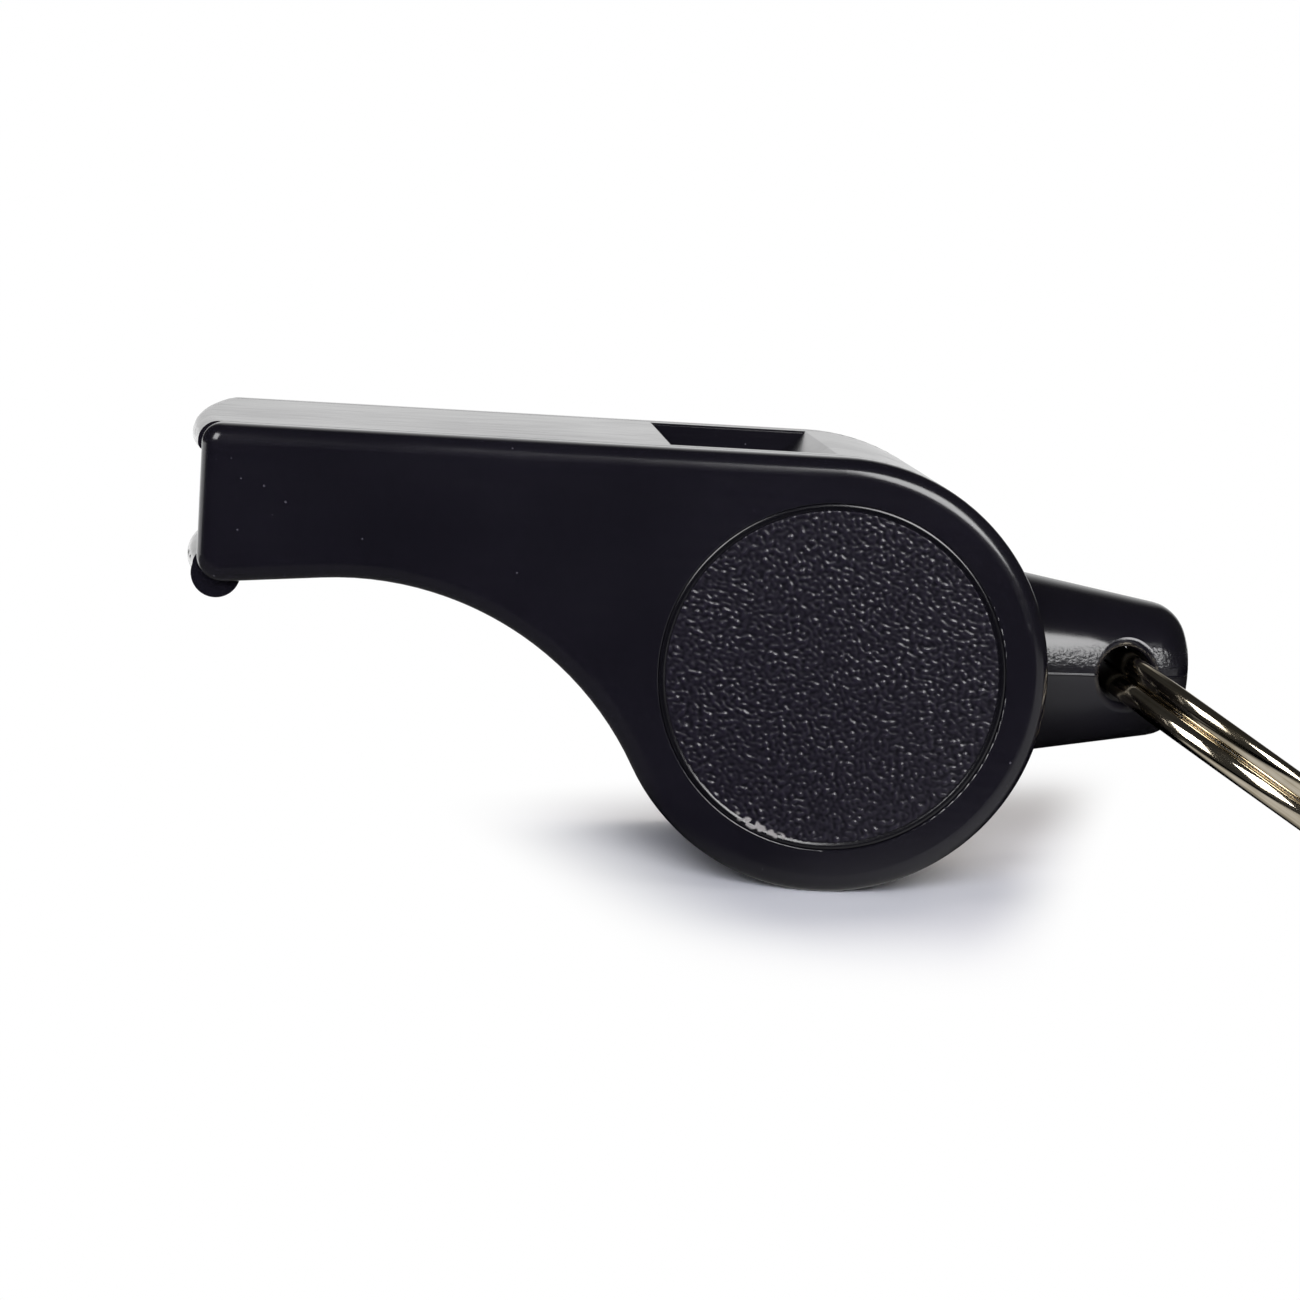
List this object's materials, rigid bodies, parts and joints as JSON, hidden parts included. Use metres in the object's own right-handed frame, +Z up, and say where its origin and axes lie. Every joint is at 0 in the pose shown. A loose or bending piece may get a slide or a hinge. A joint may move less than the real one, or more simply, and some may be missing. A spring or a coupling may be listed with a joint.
{
  "type": "pea whistle",
  "caption": "Moulded plastic pea whistle with a flat mouthpiece, a round barrel with a sound window, a loose cork ball inside and a split ring through its tail.",
  "frame": {"origin": "on the surface that the barrel stands on, under the middle of the whole length", "axes": "+X from the mouth to the ring, +Y across the body, +Z up through the roof"},
  "size_m": [0.0652, 0.0208, 0.022],
  "materials": {
    "gloss_abs": "polished black moulded plastic",
    "grained_abs": "black moulded plastic with a pebble grain",
    "cork": "ground cork",
    "nickel": "nickel-plated spring steel wire"
  },
  "bodies": {
    "whistle": {"body": "gloss_abs", "right_side_plate": "gloss_abs", "left_side_plate": "gloss_abs", "right_grip_disc": "grained_abs", "left_grip_disc": "grained_abs"},
    "pea": {"pea": "cork"},
    "ring": {"split_ring": "nickel"}
  },
  "joints": [
    {"name": "pea_roll", "type": "hinge", "parent": "whistle", "child": "pea", "pos_m": [0.0001, 0, 0.011], "axis": [0, 1, 0], "continuous": true},
    {"name": "ring_swing", "type": "hinge", "parent": "whistle", "child": "ring", "pos_m": [0.0162, 0, 0.011], "axis": [0, 1, 0], "range_deg": [-161, 96.5]}
  ]
}
